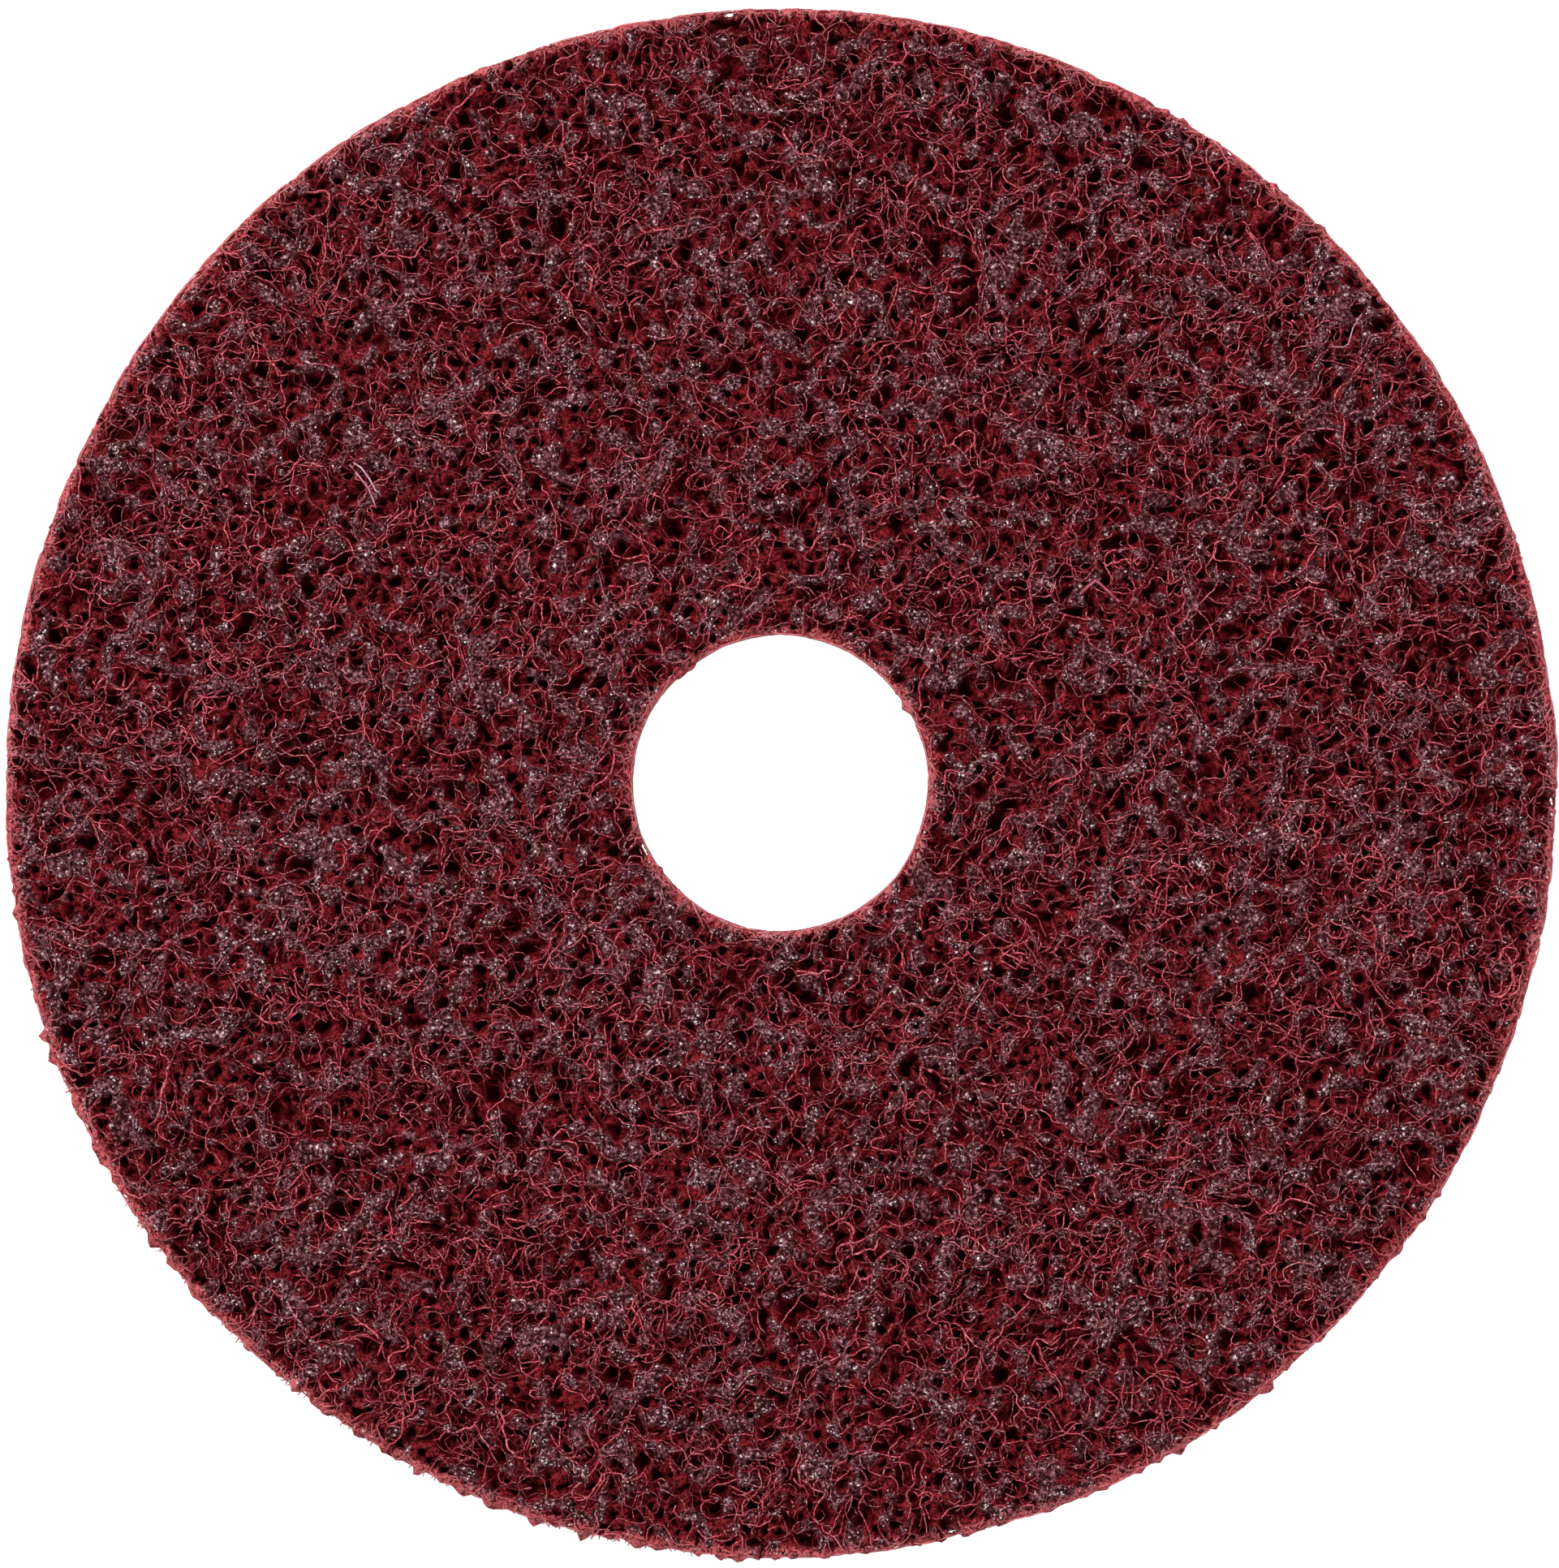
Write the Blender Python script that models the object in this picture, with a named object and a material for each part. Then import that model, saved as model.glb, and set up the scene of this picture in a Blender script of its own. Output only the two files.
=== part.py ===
# Round scouring pad: a disc punched from non-woven fibre web, bonded with resin and abrasive grain.
# The whole pad is one piece. Its open web is a face of pits between raised crests of fibre.
# Frame: the bore's axis is Z, the flat back lies on Z = 0 and the open face looks up. Sizes are in metres.

import math
import random

import bmesh
import bpy
from mathutils import Vector
from mathutils.geometry import delaunay_2d_cdt

# The disc as it is ordered
PAD_DIAMETER = 0.115
BORE_DIAMETER = 0.022
PAD_THICKNESS = 0.005  # over the highest crests

# The open web of the face
PIT_PITCH = 0.0031  # from one pit to the next
PIT_DEPTH = 0.0013  # of an ordinary pit, below the highest crests
CREST_FALL = 0.00045  # the lowest crests lie this far below the highest
SHARE_OF_WIDE_PITS = 0.10  # pits that have swallowed a neighbour

# The two punched edges
CUT_STEP = 0.0016  # between points along a cut
CUT_WANDER = 0.00016  # how far a cut strays from its circle over a long way
CUT_RAGGEDNESS = 0.00010  # how far cut fibres stand out or fall short
PRESSED_BAND = 0.0010  # width of the web that the punch has pressed down
PRESSED_DROP = 0.00055  # how far that band has sunk at the cut

WANDER_WAVES = (2, 3, 5, 6, 8, 13)  # waves round the circle that make up the wander
PIT_SPREAD = 0.45  # a pit is this share deeper or shallower than an ordinary one
PIT_JITTER = 0.36  # of the pitch: how far a pit lies from its place in the grid
SHARP_EDGE = math.radians(32)

MAROON = (0.135, 0.020, 0.028, 1.0)
WEB_ROUGHNESS = 0.82


def clear_scene():
    for obj in list(bpy.data.objects):
        bpy.data.objects.remove(obj, do_unlink=True)


def web_material():
    material = bpy.data.materials.new("maroon_web")
    material.use_nodes = True
    shader = material.node_tree.nodes["Principled BSDF"]
    shader.inputs["Base Color"].default_value = MAROON
    shader.inputs["Roughness"].default_value = WEB_ROUGHNESS
    shader.inputs["Metallic"].default_value = 0.0
    material.diffuse_color = MAROON
    return material


# A punched line: a circle that wanders a little, as (x, y) points.
def cut_line(radius, dice):
    count = round(math.tau * radius / CUT_STEP)
    phases = [dice.uniform(0, math.tau) for _ in WANDER_WAVES]
    points = []
    for i in range(count):
        angle = math.tau * i / count
        waves = sum(math.cos(n * angle + p) for n, p in zip(WANDER_WAVES, phases))
        stray = CUT_WANDER * waves / len(WANDER_WAVES)
        ragged = dice.uniform(-CUT_RAGGEDNESS, CUT_RAGGEDNESS)
        reach = radius + stray + ragged
        points.append(Vector((reach * math.cos(angle), reach * math.sin(angle))))
    return points


# The same line moved inwards or outwards, where the pressed band ends.
def beside(line, shift):
    return [point * (1 + shift / point.length) for point in line]


# Pit centres: a triangular grid over the face, jittered, with some left out so that pits widen.
def pit_centres(inner, outer, dice):
    row_step = PIT_PITCH * math.sqrt(3) / 2
    rows = math.ceil(outer / row_step)
    columns = math.ceil(outer / PIT_PITCH) + 1
    jitter = PIT_JITTER * PIT_PITCH
    centres = []
    for row in range(-rows, rows + 1):
        offset = PIT_PITCH / 2 if row % 2 else 0.0
        for column in range(-columns, columns + 1):
            turn = dice.uniform(0, math.tau)
            away = jitter * math.sqrt(dice.random())
            left_out = dice.random() < SHARE_OF_WIDE_PITS
            x = column * PIT_PITCH + offset + away * math.cos(turn)
            y = row * row_step + away * math.sin(turn)
            if not left_out and inner < math.hypot(x, y) < outer:
                centres.append(Vector((x, y)))
    return centres


# Triangles between all the points, inside the rim and outside the bore, which come first in points.
def triangles_between(points, rim_count, bore_count):
    rim = list(range(rim_count))
    bore = list(range(rim_count, rim_count + bore_count))
    flat, _, faces, came_from, _, inside = delaunay_2d_cdt(points, [], [rim, bore], 0, 1e-9)
    order = [sources[0] for sources in came_from]
    kept = [face for face, owners in zip(faces, inside) if 0 in owners and 1 not in owners]
    return [tuple(order[i] for i in face) for face in kept]


# The open face as a sheet: points with their heights, and the triangles between them.
def open_face(rim, bore, dice):
    rim_band = beside(rim, -PRESSED_BAND)
    bore_band = beside(bore, PRESSED_BAND)
    margin = PRESSED_BAND + CUT_WANDER + CUT_RAGGEDNESS + PIT_PITCH / 2
    pits = pit_centres(BORE_DIAMETER / 2 + margin, PAD_DIAMETER / 2 - margin, dice)

    edges = rim + bore
    bands = rim_band + bore_band
    first_pit = len(edges) + len(bands)
    outline = edges + bands + pits
    crests = []
    for corners in triangles_between(outline, len(rim), len(bore)):
        if sum(i >= first_pit for i in corners) >= 2:
            crests.append(sum((outline[i] for i in corners), Vector((0, 0))) / 3)

    points = outline + crests
    heights = [PAD_THICKNESS - PRESSED_DROP] * len(edges)
    heights += [PAD_THICKNESS - dice.uniform(0, CREST_FALL) for _ in bands]
    heights += [
        PAD_THICKNESS - PIT_DEPTH * dice.uniform(1 - PIT_SPREAD, 1 + PIT_SPREAD) for _ in pits
    ]
    heights += [PAD_THICKNESS - dice.uniform(0, CREST_FALL) for _ in crests]
    triangles = triangles_between(points, len(rim), len(bore))
    return [(p.x, p.y, z) for p, z in zip(points, heights)], triangles


# Pulls the open edges of the sheet down to a height, and lets the new edge stray like a cut one.
def draw_down(sheet, height, raggedness, dice):
    border = [edge for edge in sheet.edges if edge.is_boundary]
    drawn = bmesh.ops.extrude_edge_only(sheet, edges=border)["geom"]
    for vert in (item for item in drawn if isinstance(item, bmesh.types.BMVert)):
        stray = 1 + dice.uniform(-raggedness, raggedness) / vert.co.xy.length
        vert.co = (vert.co.x * stray, vert.co.y * stray, height)


def make_pad():
    dice = random.Random(22)
    rim = cut_line(PAD_DIAMETER / 2, dice)
    bore = cut_line(BORE_DIAMETER / 2, dice)
    points, triangles = open_face(rim, bore, dice)

    sheet = bmesh.new()
    corners = [sheet.verts.new(point) for point in points]
    for triangle in triangles:
        sheet.faces.new([corners[i] for i in triangle])
    draw_down(sheet, (PAD_THICKNESS - PRESSED_DROP) / 2, CUT_RAGGEDNESS, dice)
    draw_down(sheet, 0.0, 0.0, dice)
    back_edges = [edge for edge in sheet.edges if edge.is_boundary]
    bmesh.ops.triangle_fill(sheet, edges=back_edges, use_beauty=True)
    bmesh.ops.recalc_face_normals(sheet, faces=sheet.faces)

    mesh = bpy.data.meshes.new("scouring_pad")
    sheet.to_mesh(mesh)
    sheet.free()
    mesh.shade_smooth()
    mesh.set_sharp_from_angle(angle=SHARP_EDGE)
    mesh.materials.append(web_material())
    return bpy.data.objects.new("scouring_pad", mesh)


clear_scene()
parts = bpy.data.collections.new("scouring_pad")
bpy.context.scene.collection.children.link(parts)
parts.objects.link(make_pad())
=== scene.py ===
# Scouring pad: a punched ring of non-woven web, dressed with its pits, resin, fibres and grit.
# Lengths are in metres. The bore's axis is Z, the back lies on Z = 0 and the open face looks up.
import math

import bpy
import numpy as np
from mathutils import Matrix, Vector
from mathutils.bvhtree import BVHTree
from mathutils.geometry import delaunay_2d_cdt


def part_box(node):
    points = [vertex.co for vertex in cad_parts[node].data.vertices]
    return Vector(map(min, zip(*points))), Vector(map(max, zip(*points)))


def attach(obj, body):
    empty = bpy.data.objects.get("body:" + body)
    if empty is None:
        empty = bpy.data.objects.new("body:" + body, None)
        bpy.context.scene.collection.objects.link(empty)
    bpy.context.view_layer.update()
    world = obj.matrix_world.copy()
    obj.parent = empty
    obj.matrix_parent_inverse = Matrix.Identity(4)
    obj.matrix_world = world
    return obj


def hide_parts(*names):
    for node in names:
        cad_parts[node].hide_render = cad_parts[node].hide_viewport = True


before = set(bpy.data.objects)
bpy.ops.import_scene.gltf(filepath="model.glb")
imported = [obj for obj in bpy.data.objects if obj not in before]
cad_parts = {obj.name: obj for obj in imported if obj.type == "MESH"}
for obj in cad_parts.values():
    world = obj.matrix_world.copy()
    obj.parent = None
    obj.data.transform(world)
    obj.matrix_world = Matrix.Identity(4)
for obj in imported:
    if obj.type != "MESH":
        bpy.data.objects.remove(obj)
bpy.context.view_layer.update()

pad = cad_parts["scouring_pad"]
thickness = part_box("scouring_pad")[1].z
tau = math.tau


# The two punched lines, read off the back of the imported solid, where it has no other points,
# and eased from point to point: finer detail takes the place of the solid's coarse steps

cuts = {
    "back": 1e-5,  # points below this are the back's
    "easing": {-2: 0.1, -1: 0.25, 0: 0.3, 1: 0.25, 2: 0.1},  # what a point takes from its neighbours
}


def cutLines():
    points = np.array([vert.co for vert in pad.data.vertices])
    points = points[points[:, 2] < cuts["back"]]
    radius = np.hypot(points[:, 0], points[:, 1])
    angle = np.arctan2(points[:, 1], points[:, 0]) % tau
    between = (radius.min() + radius.max()) / 2
    lines = []
    for chosen in (radius > between, radius < between):
        angles, first = np.unique(angle[chosen].round(6), return_index=True)
        along = radius[chosen][first]
        eased = sum(share * np.roll(along, shift) for shift, share in cuts["easing"].items())
        lines.append((angles, eased))
    return lines


rimLine, boreLine = cutLines()
rimRadius, boreRadius = rimLine[1].mean(), boreLine[1].mean()


def rimAt(angle):
    return np.interp(angle, *rimLine, period=tau)


def boreAt(angle):
    return np.interp(angle, *boreLine, period=tau)


def placeAt(radius, angle):
    return radius * np.cos(angle), radius * np.sin(angle)


# How far a place lies from the nearer cut
def fromCut(x, y):
    radius, angle = np.hypot(x, y), np.arctan2(y, x)
    return np.minimum(rimAt(angle) - radius, radius - boreAt(angle))


# How near a place is to a cut: 1 on it, 0 from the band's width away
def nearCut(x, y, band):
    return np.clip(1 - fromCut(x, y) / band, 0, 1)


# Fields: square rasters over the disc, read at any place between their cells

raster = {
    "half": 0.0592,  # from the axis to the side of every field
    "cells": 1184,  # across a fine field, a tenth of a millimetre each
    "coarse": 110,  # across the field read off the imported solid
}
places = np.linspace(-raster["half"], raster["half"], raster["cells"] + 1)


def readField(values, x, y):
    last = values.shape[0] - 1
    u = np.clip((x / raster["half"] + 1) / 2 * last, 0, last - 1e-6)
    v = np.clip((y / raster["half"] + 1) / 2 * last, 0, last - 1e-6)
    column, row = u.astype(int), v.astype(int)
    u, v = u - column, v - row
    low = values[row, column] * (1 - u) + values[row, column + 1] * u
    high = values[row + 1, column] * (1 - u) + values[row + 1, column + 1] * u
    return low * (1 - v) + high * v


# Soft lumps about size across, mostly between -1 and 1
def lumps(size, dice, varied=0.45):
    count = len(places)
    step = places[1] - places[0]
    rows, columns = np.fft.fftfreq(count, step), np.fft.rfftfreq(count, step)
    waves = np.fft.rfft2(dice.standard_normal((count, count)))
    perSize = np.hypot(rows[:, None], columns[None, :]) * size * 2
    waves *= np.exp(-(((perSize - 1) / varied) ** 2))
    field = np.fft.irfft2(waves, (count, count))
    return field / (2 * field.std())


def smooth(share):
    share = np.clip(share, 0, 1)
    return share * share * (3 - 2 * share)


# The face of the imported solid, as heights
def solidFace():
    tree = BVHTree.FromPolygons(
        [vert.co for vert in pad.data.vertices], [face.vertices for face in pad.data.polygons]
    )
    across = np.linspace(-raster["half"], raster["half"], raster["coarse"] + 1)
    down, above = Vector((0, 0, -1)), thickness * 2
    heights = np.full((len(across), len(across)), np.nan)
    for row, y in enumerate(across):
        for column, x in enumerate(across):
            place = tree.ray_cast(Vector((x, y, above)), down)[0]
            if place is not None:
                heights[row, column] = place.z
    edge = np.nanmin(np.where(heights > thickness / 2, heights, np.nan)) + thickness
    return np.where(np.isnan(heights), edge / 2, heights)


# The relief of the open face

relief = {
    "pitPitch": 0.00097,  # from one pit to the next
    "pitJitter": 0.46,  # of the pitch
    "pitRadius": 0.00038,  # an ordinary pit, half across
    "pitSpread": 0.34,  # of the sizes, as a power of e
    "longest": 2.2,  # a pit's length over its width
    "lobes": (0.13, 0.08),  # three-sided and five-sided bulges of its outline
    "pitDepth": (0.0008, 0.0021),
    "wideShare": 0.028,  # pits that are much wider and deeper
    "wideRadius": 0.00088,
    "wideSpread": 0.3,  # of the ordinary spread
    "clearOfCut": 0.00012,  # pits keep this far inside the cuts
    "resinSize": 0.00125,  # patches where resin and grain close the web
    "resinRange": 0.7,  # how much their sizes vary
    "resinAbove": 0.17,  # they stand where their lumps are above this
    "resinEdge": 0.75,  # softness of their borders
    # slow changes in the resin: their size and strength
    "drifts": ((0.0042, 0.34), (0.011, 0.14), (0.034, 0.05)),
    "pitsInResin": 0.30,  # how freely pits open in it all the same
    "openDrop": 0.00062,  # the web between the patches lies this far lower
    "crestFall": 0.00030,  # crests wander this far below the top
    "crestSize": 0.0026,
    "hollowShare": 0.40,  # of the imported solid's own hollows
    "grainHeight": 0.00006,
    "grainSize": 0.00045,
    "topDrop": 0.00012,  # the resin lies this far below the highest fibres
    "wallShare": 0.55,  # of a pit's reach that its wall takes up
    "pressed": 0.0008,  # width of the band beside a cut
    "trimmedAndRimLit": 0.00145,  # width of the pale line along it, partly paler cut fibre, partly painted rim light
}


# Pits on a jittered triangular grid, some grown wide, and few where resin has closed the web
def layPits(resin, dice):
    pitch = relief["pitPitch"]
    rows = int(rimRadius / pitch * 1.2) + 1
    row, column = np.mgrid[-rows:rows + 1, -rows:rows + 1]
    turn = dice.uniform(0, tau, row.shape)
    awayX, awayY = placeAt(pitch * relief["pitJitter"] * np.sqrt(dice.random(row.shape)), turn)
    x = (column + (row % 2) / 2) * pitch + awayX
    y = row * pitch * math.sqrt(3) / 2 + awayY
    closed = readField(resin, x, y) > 0.5 + relief["pitsInResin"] * dice.normal(0, 1, x.shape)
    kept = (fromCut(x, y) > relief["clearOfCut"] + relief["pitRadius"]) & ~closed
    x, y = x[kept], y[kept]
    count = len(x)
    wide = dice.random(count) < relief["wideShare"]
    radius = np.where(wide, relief["wideRadius"], relief["pitRadius"])
    spread = np.where(wide, relief["wideSpread"], 1)
    radius = radius * np.exp(dice.normal(0, relief["pitSpread"], count) * spread)
    stretch = np.sqrt(dice.uniform(1, relief["longest"], count))
    low, high = relief["pitDepth"]
    return {
        "x": x, "y": y, "long": radius * stretch, "short": radius / stretch,
        "turn": dice.uniform(0, tau, count),
        "depth": np.where(wide, high, low + (high - low) * dice.random(count)),
        "phase": dice.uniform(0, tau, (2, count)),
    }


# How far a pit reaches from its middle at an angle from its long axis
def pitReach(long, short, phase, angle):
    oval = long * short / np.hypot(short * np.cos(angle), long * np.sin(angle))
    three, five = relief["lobes"]
    return oval * (1 + three * np.cos(3 * angle + phase[0]) + five * np.cos(5 * angle + phase[1]))


def digPits(pits):
    depth = np.zeros((len(places), len(places)))
    step = places[1] - places[0]
    for i in range(len(pits["x"])):
        size = int(1.3 * pits["long"][i] / step) + 2  # half a window that holds the pit's lobes
        column = round((pits["x"][i] + raster["half"]) / step)
        row = round((pits["y"][i] + raster["half"]) / step)
        window = slice(row - size, row + size + 1), slice(column - size, column + size + 1)
        x = places[window[1]][None, :] - pits["x"][i]
        y = places[window[0]][:, None] - pits["y"][i]
        angle = np.arctan2(y, x) - pits["turn"][i]
        reach = pitReach(pits["long"][i], pits["short"][i], pits["phase"][:, i], angle)
        dug = pits["depth"][i] * smooth((1 - np.hypot(x, y) / reach) / relief["wallShare"])
        np.maximum(depth[window], dug, out=depth[window])
    return depth


def shapeFace(dice):
    x, y = np.meshgrid(places, places)
    patches = lumps(relief["resinSize"], dice, relief["resinRange"]) - relief["resinAbove"]
    for size, strength in relief["drifts"]:
        patches += strength * lumps(size, dice)
    resin = smooth(0.5 + patches / relief["resinEdge"])
    cut = nearCut(x, y, relief["pressed"])
    pits = layPits(resin, dice)
    depth = digPits(pits) + relief["openDrop"] * (1 - np.maximum(resin, cut))
    hollow = thickness - readField(solidFace(), x, y)
    share = relief["hollowShare"] + (1 - relief["hollowShare"]) * cut
    fall = relief["crestFall"] * (0.5 + 0.5 * lumps(relief["crestSize"], dice))
    crest = thickness - relief["topDrop"] - share * hollow - fall
    height = crest + relief["grainHeight"] * lumps(relief["grainSize"], dice) - depth
    return pits, resin, crest, depth, height


dice = np.random.default_rng(115)
pits, resin, crest, depth, height = shapeFace(dice)
print("face shaped with", len(pits["x"]), "pits")

# Slopes of the softened pits, which steer the fibres
softened = sum(np.roll(depth, (i, j), (0, 1)) for i in (-2, 0, 2) for j in (-2, 0, 2)) / 9
slopes = np.gradient(softened, places[1] - places[0])[::-1]


# Meshes from arrays, with numbers kept on the points and a flat map that holds every face

def makePiece(name, points, faces, numbers, flat, material, unrolled=None):
    mesh = bpy.data.meshes.new(name)
    corners = np.concatenate([group.ravel() for group in faces])
    sizes = np.concatenate([np.full(len(group), group.shape[1]) for group in faces])
    mesh.vertices.add(len(points))
    mesh.vertices.foreach_set("co", points.astype(np.float32).ravel())
    mesh.loops.add(len(corners))
    mesh.loops.foreach_set("vertex_index", corners.astype(np.int32))
    mesh.polygons.add(len(sizes))
    mesh.polygons.foreach_set("loop_start", (np.cumsum(sizes) - sizes).astype(np.int32))
    mesh.update(calc_edges=True)
    mesh.shade_smooth()
    for number, values in numbers.items():
        kept = mesh.attributes.new(number, "FLOAT", "POINT")
        kept.data.foreach_set("value", np.asarray(values, np.float32).ravel())
    for title, groups in (("OFBake", flat), ("unrolled", unrolled)):
        if groups is not None:
            spread = np.concatenate([group.reshape(-1, 2) for group in groups])
            mesh.uv_layers.new(name=title).data.foreach_set("uv", spread.astype(np.float32).ravel())
    mesh.materials.append(material)
    piece = bpy.data.objects.new(name, mesh)
    bpy.context.scene.collection.objects.link(piece)
    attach(piece, "root")
    print(name, "made with", int((sizes - 2).sum()), "triangles")
    return piece


# The numbers that the materials take from a place on the disc
def overDisc(x, y):
    return {"resin": readField(resin, x, y), "cut": nearCut(x, y, relief["trimmedAndRimLit"])}


# One number for each square cell of this size
def cellOf(x, y, cell):
    return np.floor(x / cell).astype(np.int64) * 100000 + np.floor(y / cell).astype(np.int64)


# One point for each cell, so that no two lie close together
def thinned(x, y, cell):
    first = np.unique(cellOf(x, y, cell), return_index=True)[1]
    return x[first], y[first]


# The points in cells that hold none of the others
def apartFrom(x, y, others, cell):
    apart = ~np.isin(cellOf(x, y, cell), cellOf(*others, cell))
    return x[apart], y[apart]


def jitteredGrid(pitch, reach, jitter, dice):
    count = int(reach / pitch) + 1
    row, column = np.mgrid[-count:count + 1, -count:count + 1]
    x = (column + (row % 2) / 2) * pitch + dice.uniform(-jitter, jitter, row.shape) * pitch
    y = row * pitch + dice.uniform(-jitter, jitter, row.shape) * pitch
    return x.ravel(), y.ravel()


# Triangles between the rim, the bore and what lies between them, turning anticlockwise
def triangulated(rim, bore, inner):
    points = np.concatenate([rim, bore, inner])
    loops = [list(range(len(rim))), list(range(len(rim), len(rim) + len(bore)))]
    made = delaunay_2d_cdt([Vector(point) for point in points.tolist()], [], loops, 0, 1e-10)
    order = np.array([source[0] for source in made[3]])
    kept = [face for face, owners in zip(made[2], made[5]) if 0 in owners and 1 not in owners]
    return order[np.array(kept)]


# The core: the pitted face, the plain back and the two cut walls, as one closed mesh

webBody = {
    "rimPoints": 900,
    "borePoints": 172,
    "wallRows": 9,
    "wallLumps": 0.00016,  # the cut walls are uneven by this much
    "wallHollow": 0.28,  # their pits, as a share of the depth of the face's
    "wallInset": 0.00006,  # how far the walls stand back under the fibres
    "bevel": 0.00010,  # how much further at their top
    "rings": (1.03, 0.50),  # a pit's two rings of points, as shares of its reach
    "ringPoints": (6, 3),
    "shallow": 0.15,  # the upper ring's greatest depth, as a share of the pit's
    "closest": 0.00017,
    "fillPitch": 0.00048,
    "fillApart": 0.7,  # of that pitch, from the rings
    "jitter": 0.3,  # of either pitch
    "clearOfCut": 0.00022,
    "backPitch": 0.00105,
    "backClear": 0.0005,
    "backRise": (0.00010, 0.00038),  # the back's hollows, above the plane it rests on
    "backSize": 0.0015,
    "tooth": 0.00050,  # how far torn lumps stand out of the rim
    "toothSize": 0.0008,
    # corner and size on the flat map, after a wall's number of strips
    "faceMap": ((0, 0), 0.7),
    "backMap": ((0.7, 0.7), 0.3),
    "rimMap": (4, (0.01, 0.71), (0.68, 0.07)),
    "boreMap": (1, (0.71, 0.02), (0.28, 0.07)),
    "stripShare": 0.86,  # of a strip's height, so that strips stay apart
}

# Where the punch tore the cuts: middle and half width in degrees, and how strongly
tornRim = ((232, 46, 1.0), (52, 10, 0.6), (312, 18, 0.6), (286, 12, 0.5))
tornBore = ((129, 7, 0.7), (30, 9, 0.7), (340, 6, 0.5), (221, 7, 0.8))
tornElsewhere = 0.08


def tornAt(angle, stretches=tornRim):
    torn = np.full(np.shape(angle), tornElsewhere)
    for middle, half, strength in stretches:
        away = (np.degrees(angle) - middle + 180) % 360 - 180
        torn = np.maximum(torn, strength * smooth(1.5 - np.abs(away) / half))
    return torn


# Points round every pit, at this share of its reach
def ringOfPoints(level, count, dice):
    turn = np.arange(count) * tau / count + dice.uniform(0, tau, (len(pits["x"]), 1))
    reach = pitReach(pits["long"][:, None], pits["short"][:, None], pits["phase"][:, :, None], turn)
    angle = turn + pits["turn"][:, None]
    x = pits["x"][:, None] + level * reach * np.cos(angle)
    y = pits["y"][:, None] + level * reach * np.sin(angle)
    return x, y


# The face's points between the cuts: rings round the pits, and a jittered grid in what is left
def faceInner(dice):
    upper, lower = webBody["rings"]
    upperCount, lowerCount = webBody["ringPoints"]
    x, y = ringOfPoints(upper, upperCount, dice)
    clear = readField(depth, x, y) < relief["openDrop"] + webBody["shallow"] * pits["depth"][:, None]
    lowX, lowY = ringOfPoints(lower, lowerCount, dice)
    x, y = np.concatenate([lowX.ravel(), x[clear]]), np.concatenate([lowY.ravel(), y[clear]])
    x, y = thinned(x, y, webBody["closest"])
    fill = jitteredGrid(webBody["fillPitch"], rimRadius, webBody["jitter"], dice)
    fill = apartFrom(*fill, (x, y), webBody["fillPitch"] * webBody["fillApart"])
    x, y = np.concatenate([x, fill[0]]), np.concatenate([y, fill[1]])
    inside = fromCut(x, y) > webBody["clearOfCut"]
    return np.column_stack([x[inside], y[inside]])


# Rows of points down a cut wall, from just under the face to the back. The wall has the same web as
# the face: it reads the face's fields as if they were folded down over the cut
def cutWall(count, reach, outward, dice):
    angle = np.arange(count) * tau / count
    rows = webBody["wallRows"]
    radius = reach(angle)
    top = readField(height, *placeAt(radius, angle))
    share = np.linspace(1, 0, rows)[:, None]
    heights = webBody["backRise"][0] + (top - webBody["backRise"][0])[None, :] * share
    uneven = dice.normal(0, 0.5, (rows, count))
    uneven = (uneven + np.roll(uneven, 1, 1) + np.roll(uneven, -1, 1)) / 2
    tooth = readField(lumps(webBody["toothSize"], dice), *placeAt(radius, angle))
    torn = tornAt(angle, tornRim if outward > 0 else tornBore)
    torn = webBody["tooth"] * torn * np.clip(tooth + 0.3, -0.4, 2)
    folded = np.stack(placeAt(radius - outward * (top - heights), angle), axis=2)
    inset = webBody["bevel"] * smooth(1 - share) + webBody["wallInset"]
    inset = inset + webBody["wallHollow"] * readField(depth, folded[:, :, 0], folded[:, :, 1])
    spread = radius + outward * (torn - inset + webBody["wallLumps"] * np.clip(uneven, -1, 1) / 2)
    return np.stack([*placeAt(spread, angle), heights], axis=2), folded


def wallFaces(first, rows, count, outward):
    row, column = np.mgrid[0:rows - 1, 0:count]
    upper, lower = first + row * count, first + (row + 1) * count
    beside = (column + 1) % count
    quads = np.stack([lower + column, lower + beside, upper + beside, upper + column], axis=2)
    return (quads if outward > 0 else quads[:, :, ::-1]).reshape(-1, 4)


# A wall's place on the flat map, cut into strips that lie one above another
def wallMap(rows, count, outward, strips, corner, size):
    row, column = np.mgrid[0:rows - 1, 0:count]
    across = column / count * strips
    strip = np.minimum(across.astype(int), strips - 1)
    left, right = across - strip, across + strips / count - strip
    low, high = 1 - (row + 1) / (rows - 1), 1 - row / (rows - 1)
    u = np.stack([left, right, right, left], axis=2) * size[0] + corner[0]
    v = np.stack([low, low, high, high], axis=2) * size[1] * webBody["stripShare"] + corner[1]
    flat = np.stack([u, v + strip[:, :, None] * size[1]], axis=3)
    return (flat if outward > 0 else flat[:, :, ::-1]).reshape(-1, 4, 2)


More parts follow.
